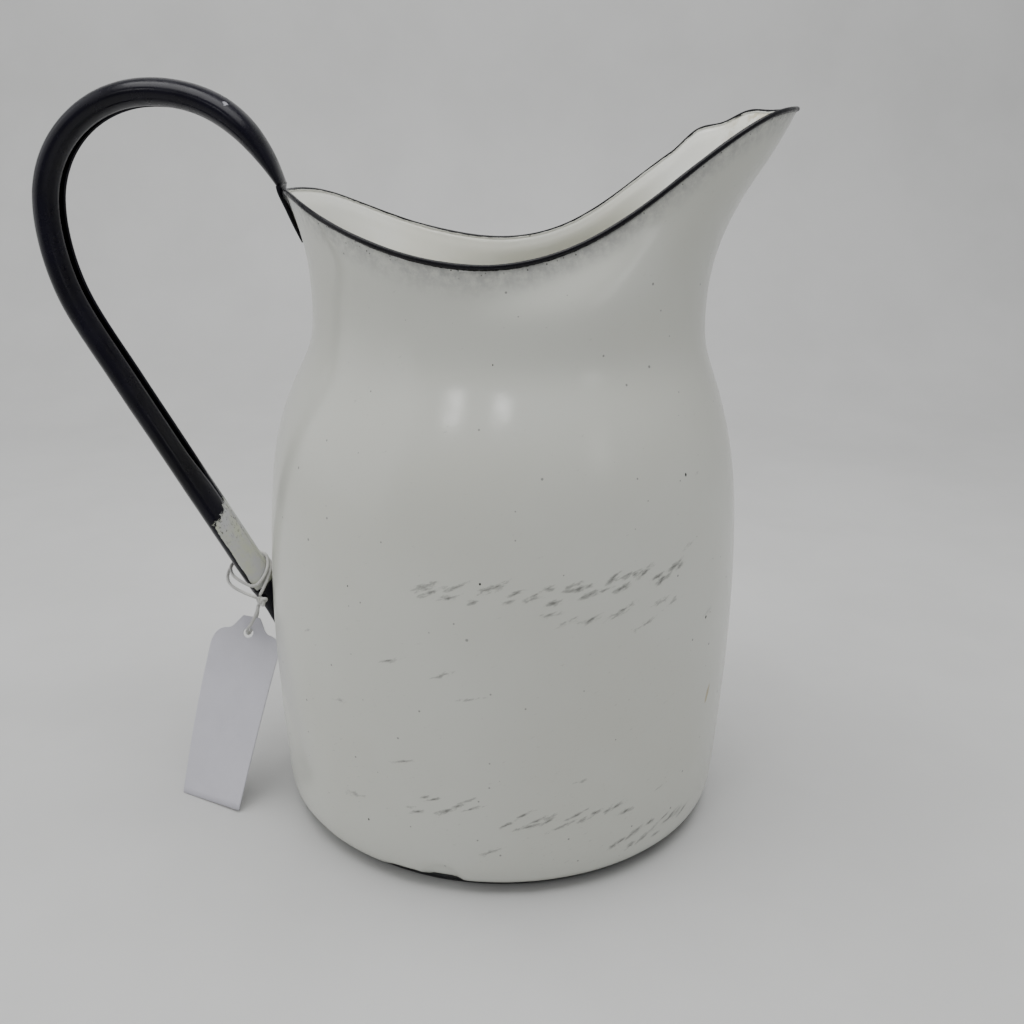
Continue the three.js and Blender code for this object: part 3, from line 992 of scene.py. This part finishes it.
def outside_enamel():
    """Glossy white enamel: rubbed, chipped, stained, and dusted with black below the rim."""
    nodes = Nodes("outside_enamel")
    z = nodes.axes()[2]
    skin = skin_place(nodes)
    color = nodes.mix(nodes.ramp(nodes.noise(14, 3, 0.55), 0.3, 0.72), WHITE, WARM_WHITE)
    gloss = nodes.ramp(nodes.noise(55, 4, 0.6), 0.3, 0.75, 0.15, 0.24)
    height = nodes.times(nodes.noise(260, 3, 0.5), 0.5)

    # rubbed marks, broken into fine strokes that rise to the right
    strokes = nodes.mapped(skin, (0, 0, 0), (0, 0, math.radians(22)), (3, 1, 1), "TEXTURE")
    fine = nodes.noise(950, 4, 0.72, strokes)
    pick = random.Random(5)
    marks = []
    for degrees, at, length, width, slope, dark in scattered_strokes(pick):
        mark = spot(nodes, skin, degrees, at, length * 1.2, width * 1.5, slope)
        marks.append(nodes.times(mark, 0.5 + 0.5 * dark))
    grain = nodes.times(fine, 1.25)
    grain = nodes.plus(grain, nodes.noise(150, 3, 0.6), 0.35)
    total = nodes.plus(grain, nodes.most(marks), 0.6)
    rubbed = nodes.ramp(total, 0.97, 1.24, 0, 0.55)
    worst = nodes.ramp(total, 1.24, 1.36, 0, 0.4)
    lower = nodes.ramp(z, 0.185, 0.02)
    zones = nodes.ramp(nodes.noise(30, 2, 0.5), 0.42, 0.62)
    patchy = nodes.times(lower, zones)
    faint = nodes.times(patchy, nodes.ramp(fine, 0.6, 0.74, 0, 0.3))
    color = nodes.mix(nodes.math("MAXIMUM", rubbed, faint), color, SCUFF)
    color = nodes.mix(worst, color, CHIP)

    # specks scattered over the skin, each its own size
    cell = nodes.cells(260)
    chance = nodes.add("ShaderNodeSeparateColor")
    nodes.link(cell["Color"], chance.inputs[0])
    size = nodes.times(nodes.math("SUBTRACT", chance.outputs[0], 0.66), 0.42)
    specks = nodes.ramp(nodes.math("SUBTRACT", size, cell["Distance"]), 0.0, 0.03, 0, 0.6)

    holes = [
        spot(nodes, skin, degrees, at, radius * 2.3, radius * 2.9)
        for degrees, at, radius in scattered_chips(pick)
    ]
    hole = nodes.plus(nodes.most(holes), nodes.noise(900, 3, 0.6), 0.55)
    chip = nodes.ramp(hole, 0.62, 0.74)
    color = nodes.mix(nodes.ramp(hole, 0.42, 0.62, 0, 0.3), color, SCUFF)
    color = nodes.mix(specks, color, SCUFF)

    # rust below the handle's tab and where a chip has bled
    bled = spot(nodes, skin, 57, 60, 5, 14, -20)
    bled = nodes.plus(bled, nodes.noise(420, 3, 0.6), 0.5)
    color = nodes.mix(nodes.ramp(bled, 0.62, 0.95, 0, 0.75), color, STAIN)
    under_tab = spot(nodes, skin, -82, 223, 34, 26)
    under_tab = nodes.plus(under_tab, nodes.noise(300, 4, 0.6), 0.8)
    color = nodes.mix(nodes.ramp(under_tab, 0.72, 1.1, 0, 0.75), color, STAIN)

    # the rim's black: a thin uneven edge, then a haze with specks that fades out below it
    gap = nodes.attribute("below_rim")
    haze = nodes.ramp(gap, 0.012, 0.0, 0, 0.5)
    haze = nodes.times(haze, nodes.ramp(nodes.noise(330, 5, 0.7), 0.28, 0.68))
    color = nodes.mix(haze, color, HAZE)
    dots = nodes.ramp(nodes.cells(620)["Distance"], 0.2, 0.12)
    thinned = nodes.times(nodes.ramp(gap, 0.008, 0.0), nodes.noise(240, 3, 0.6))
    dots = nodes.times(dots, nodes.ramp(thinned, 0.34, 0.5))
    color = nodes.mix(nodes.times(dots, 0.8), color, CHIP)
    edge = nodes.times(nodes.noise(520, 5, 0.7), 0.0008)
    color = nodes.mix(nodes.ramp(nodes.math("SUBTRACT", edge, gap), -0.0003, 0.0), color, BLACK)

    # the lower hem's edge painted dark: partly enamel worn off its edge, partly painted shade where the
    # body meets its base
    worn_and_shaded_hem = nodes.plus(z, nodes.noise(150, 4, 0.6), -0.0022)
    color = nodes.mix(nodes.ramp(worn_and_shaded_hem, 0.0024, 0.0012), color, CHIP)
    color = nodes.mix(chip, color, CHIP)
    gloss = nodes.plus(gloss, rubbed, 0.3)
    gloss = nodes.plus(gloss, chip, 0.4)
    height = nodes.plus(height, chip, -2.5)
    normal = nodes.bump(height, 0.00012, 0.5)
    return nodes.finish(color, gloss, normal, IOR=1.5)


def inside_enamel():
    """The enamel inside, painted brighter than the outside as painted light, stained at the spout's tip
    and at the bottom.
    """
    nodes = Nodes("inside_enamel")
    x, _, z = nodes.axes()
    # the bright inside whites are painted light
    color = nodes.mix(nodes.ramp(nodes.noise(16, 3, 0.55), 0.3, 0.72), INNER_WHITE_WITH_PAINTED_LIGHT, INNER_WARM_WITH_PAINTED_LIGHT)
    spout = nodes.ramp(x, 0.076, 0.094)
    spotty = nodes.ramp(nodes.noise(240, 4, 0.65), 0.42, 0.62, 0, 0.6)
    color = nodes.mix(nodes.times(spout, spotty), color, STAIN)
    color = nodes.mix(nodes.ramp(z, 0.05, 0.0, 0, 0.25), color, STAIN)
    dull = nodes.ramp(nodes.noise(60, 4, 0.6), 0.3, 0.75, 0.14, 0.26)
    normal = nodes.bump(nodes.noise(260, 3, 0.5), 0.00006, 0.5)
    return nodes.finish(color, dull, normal, IOR=1.5)


def base_enamel():
    """The folded edge and underside: the edge painted near-black, partly enamel worn through and partly
    a painted shadow line under the body, grey rings beneath.
    """
    nodes = Nodes("base_enamel")
    x, y, z = nodes.axes()
    squares = nodes.plus(nodes.times(x, x), nodes.times(y, y))
    radius = nodes.math("SQRT", squares)
    worn = nodes.noise(90, 5, 0.65)
    color = nodes.mix(nodes.ramp(worn, 0.35, 0.7), (0.5, 0.5, 0.485, 1), (0.38, 0.38, 0.36, 1))
    rings = nodes.noise(1, 2, 0.5, nodes.mapped(nodes.place, scale=(120, 120, 40)))
    color = nodes.mix(nodes.ramp(rings, 0.55, 0.75, 0, 0.4), color, SCUFF)
    # the folded edge painted near-black: partly worn-through enamel, partly a painted shadow line where
    # the body overhangs it
    edge = nodes.plus(radius, worn, 0.006)
    color = nodes.mix(nodes.ramp(edge, 0.0745, 0.0775), color, (0.012, 0.012, 0.014, 1))
    inside = nodes.ramp(z, 0.0008, 0.0011)
    within = nodes.ramp(radius, 0.0745, 0.0735)
    color = nodes.mix(nodes.times(inside, within), color, WARM_WHITE)
    rough = nodes.ramp(worn, 0.3, 0.7, 0.25, 0.55)
    normal = nodes.bump(nodes.noise(500, 4, 0.6), 0.0002, 0.5)
    return nodes.finish(color, rough, normal, IOR=1.5)


def rim_enamel():
    """Near-black enamel over the outside and top of the roll, white where it meets the inside."""
    nodes = Nodes("rim_enamel")
    inward = nodes.times(nodes.attribute("turn_cos"), -1.0)
    downward = nodes.times(nodes.attribute("turn_sin"), -0.35)
    uneven = nodes.times(nodes.noise(260, 4, 0.65), 0.4)
    slow = nodes.times(nodes.noise(45, 2, 0.5), 0.5)
    inner = nodes.plus(nodes.plus(inward, downward), nodes.plus(uneven, slow))
    white = nodes.ramp(inner, 1.34, 1.44)
    chips = nodes.plus(nodes.cells(120)["Distance"], nodes.noise(500, 3, 0.6), 0.12)
    # the roll's inner white is the inside's white, painted bright as painted light
    color = nodes.mix(white, BLACK, INNER_WHITE_WITH_PAINTED_LIGHT)
    color = nodes.mix(nodes.ramp(chips, 0.13, 0.11, 0, 0.5), color, (0.06, 0.045, 0.03, 1))
    rough = nodes.ramp(nodes.noise(300, 3, 0.6), 0.3, 0.7, 0.2, 0.38)
    normal = nodes.bump(nodes.noise(420, 4, 0.6), 0.00018, 0.6)
    return nodes.finish(color, rough, normal, IOR=1.5, Specular_IOR_Level=0.22)


# Places on the handle where the black is knocked off, together with painted glints drawn as grey spots
# on the lip near the crown: position and reach, in millimetres.
HANDLE_NICKS_AND_GLINTS = [
    (-96, -6, 260, 2.2),
    (-99, -7, 262.5, 1.4),
    (-149, -3, 242, 3),
    (-145, -4, 246.5, 3.2),
    (-152, -2, 236, 2),
    (-121, -8, 268, 1.5),
    (-117, 8, 120, 2.5),
    (-160, 6, 190, 2.2),
]
BARE_DOT = (-104.5 * MM, -7 * MM, 94.5 * MM)  # a dark dot on the bare stretch


def handle_enamel(name, bare_end):
    """Glossy near-black enamel, worn back to yellowed white near the strap's lower end."""
    nodes = Nodes(name)
    soft = nodes.noise(40, 3, 0.55)
    color = nodes.mix(nodes.ramp(soft, 0.3, 0.75), BLACK, NAVY)
    dust = nodes.ramp(nodes.noise(700, 5, 0.75), 0.58, 0.8, 0, 0.4)
    color = nodes.mix(dust, color, (0.026, 0.026, 0.034, 1))
    rough = nodes.ramp(nodes.noise(90, 4, 0.65), 0.3, 0.75, 0.16, 0.36)
    height = nodes.times(nodes.noise(330, 3, 0.5), 0.6)
    nicks_and_glints = []
    for x, y, z, reach in HANDLE_NICKS_AND_GLINTS:
        centre = (x * MM, y * MM, z * MM)
        nicks_and_glints.append(nodes.ball(nodes.place, centre, (0, 0, 0), (reach * MM,) * 3))
    nick_and_glint = nodes.plus(nodes.most(nicks_and_glints), nodes.noise(800, 4, 0.7), 0.9)
    nick_and_glint = nodes.ramp(nick_and_glint, 0.92, 1.08)
    # grey spots: partly knocked-off enamel, partly painted glints
    color = nodes.mix(nick_and_glint, color, (0.30, 0.30, 0.33, 1))
    height = nodes.math("SUBTRACT", height, nick_and_glint)
    if bare_end:
        run = nodes.attribute("run")
        side = nodes.attribute("side")
        ragged = nodes.times(nodes.noise(300, 6, 0.8), 0.016)
        shift = nodes.times(nodes.noise(60, 2, 0.5), 0.012)
        off_spine = nodes.math("ABSOLUTE", nodes.math("SUBTRACT", side, math.pi))
        turned = nodes.times(nodes.math("MINIMUM", off_spine, math.pi), -0.0035)
        reach = nodes.plus(nodes.plus(run, turned), nodes.plus(ragged, shift))
        bare = nodes.ramp(reach, 0.0395, 0.0382)
        spine = nodes.plus(off_spine, nodes.noise(260, 4, 0.6), 0.4)
        bare = nodes.times(bare, nodes.ramp(spine, 1.58, 1.64))
        grey = nodes.ramp(nodes.noise(120, 4, 0.65), 0.35, 0.65)
        bone = nodes.mix(grey, (0.55, 0.565, 0.46, 1), (0.52, 0.52, 0.53, 1))
        bits = nodes.ramp(nodes.noise(700, 5, 0.75), 0.56, 0.62, 0, 0.9)
        smeared = nodes.plus(run, nodes.noise(90, 3, 0.6), 0.012)
        bone = nodes.mix(nodes.times(bits, nodes.ramp(smeared, 0.022, 0.036)), bone, CHIP)
        dot = nodes.ball(nodes.place, BARE_DOT, (0, 0, 0), (1.4 * MM,) * 3)
        bone = nodes.mix(nodes.ramp(dot, 0.05, 0.4, 0, 0.75), bone, CHIP)
        color = nodes.mix(bare, color, bone)
        rough = nodes.plus(rough, bare, 0.1)
        height = nodes.plus(height, bare, -0.8)
    normal = nodes.bump(height, 0.00015, 0.5)
    return nodes.finish(color, rough, normal, IOR=1.5, Specular_IOR_Level=0.22)


def cotton_string():
    """Soft, slightly greyed cotton with loose fibres across each ply."""
    nodes = Nodes("cotton_string")
    fibres = nodes.noise(2600, 5, 0.7)
    dull = nodes.noise(160, 3, 0.55)
    color = nodes.mix(nodes.ramp(dull, 0.3, 0.7), (0.70, 0.69, 0.66, 1), (0.55, 0.55, 0.53, 1))
    color = nodes.mix(nodes.ramp(fibres, 0.55, 0.8, 0, 0.35), color, (0.32, 0.32, 0.31, 1))
    normal = nodes.bump(fibres, 0.00012, 0.9)
    rough = nodes.ramp(fibres, 0.3, 0.7, 0.82, 0.95)
    return nodes.finish(color, rough, normal, Sheen_Weight=0.35, Sheen_Roughness=0.5)


def tag_paper():
    """Uncoated card: fine pulp flecks and a faint mottle."""
    nodes = Nodes("tag_paper")
    pulp = nodes.noise(1500, 6, 0.75)
    mottle = nodes.noise(70, 4, 0.6)
    color = nodes.mix(nodes.ramp(mottle, 0.3, 0.7), (0.64, 0.63, 0.685, 1), (0.61, 0.60, 0.65, 1))
    color = nodes.mix(nodes.ramp(pulp, 0.5, 0.8, 0, 0.22), color, (0.46, 0.46, 0.49, 1))
    flecks = nodes.ramp(nodes.cells(420)["Distance"], 0.06, 0.03, 0, 0.35)
    color = nodes.mix(flecks, color, (0.40, 0.39, 0.38, 1))
    normal = nodes.bump(pulp, 0.00008, 0.6)
    rough = nodes.ramp(pulp, 0.3, 0.7, 0.78, 0.92)
    return nodes.finish(color, rough, normal, IOR=1.45)


# ------------------------------------------------------------------ floor, backdrop and light

def make_stage():
    """One pale sheet: a floor that sweeps up into a wall behind the jug."""
    wide, depth, wall, bend = 3.0, 0.9, 2.2, 0.35
    profile = [(-2.2, 0.0), (depth - bend, 0.0)]
    for angle in np.radians(np.linspace(-90, 0, 13)[1:]):
        profile.append((depth - bend + bend * math.cos(angle), bend + bend * math.sin(angle)))
    profile.append((depth, wall))
    points = [(side * wide, y, z) for y, z in profile for side in (-1, 1)]
    faces = [(2 * i, 2 * i + 1, 2 * i + 3, 2 * i + 2) for i in range(len(profile) - 1)]
    mesh = bpy.data.meshes.new("floor")
    mesh.from_pydata(points, [], faces)
    mesh.shade_smooth()
    floor = add_object("floor", mesh)
    nodes = Nodes("floor_board")
    tone = nodes.noise(9, 4, 0.6)
    color = nodes.mix(nodes.ramp(tone, 0.3, 0.7), (0.62, 0.62, 0.61, 1), (0.585, 0.585, 0.575, 1))
    mesh.materials.append(nodes.finish(color, 0.55, None, IOR=1.4))


def area_light(name, place, target, size, power):
    data = bpy.data.lights.new(name, "AREA")
    data.shape = "RECTANGLE"
    data.size, data.size_y = size
    data.energy = power
    light = add_object(name, data)
    aim = Vector(target) - Vector(place)
    light.matrix_world = Matrix.Translation(place) @ aim.to_track_quat("-Z", "Y").to_matrix().to_4x4()


def make_light():
    world = bpy.data.worlds.new("room")
    world.use_nodes = True
    background = world.node_tree.nodes["Background"]
    background.inputs["Color"].default_value = (0.93, 0.95, 1.0, 1)
    background.inputs["Strength"].default_value = 0.27
    bpy.context.scene.world = world
    area_light("top", (0, -0.05, 1.15), (0, 0, 0.1), (1.2, 0.9), 14.6)
    area_light("left", (-1.2, -0.1, 0.6), (0, 0, 0.12), (1.6, 1.4), 5.6)
    area_light("right", (1.2, 0.1, 0.6), (0, 0, 0.12), (1.6, 1.4), 1.1)
    # two small windows, seen side by side on the shoulder, and a fainter one
    shoulder = (-0.008, -0.074, 0.171)
    for name, aim, reach, size, power in (
        ("window_left", shoulder, (-0.431, -0.717, 0.547), (0.13, 0.09), 0.5),
        ("window_right", shoulder, (-0.04, -0.817, 0.573), (0.13, 0.08), 0.45),
        ("window_side", (0.030, -0.076, 0.156), (0.711, -0.634, 0.305), (0.2, 0.2), 0.22),
    ):
        area_light(name, Vector(aim) + Vector(reach), aim, size, power)


# ------------------------------------------------------------------ the scene

def build():
    make_camera()
    string = cotton_string()
    strings = make_strings(string)
    knot = make_knot(string)
    make_tag(tag_paper())
    make_body([outside_enamel(), inside_enamel()])
    make_base(base_enamel())
    make_rim(rim_enamel())
    plain_black = handle_enamel("bracket_enamel", False)
    make_handle(handle_enamel("strap_enamel", True))
    make_tab(plain_black)
    make_foot(plain_black)
    make_stage()
    make_light()


build()
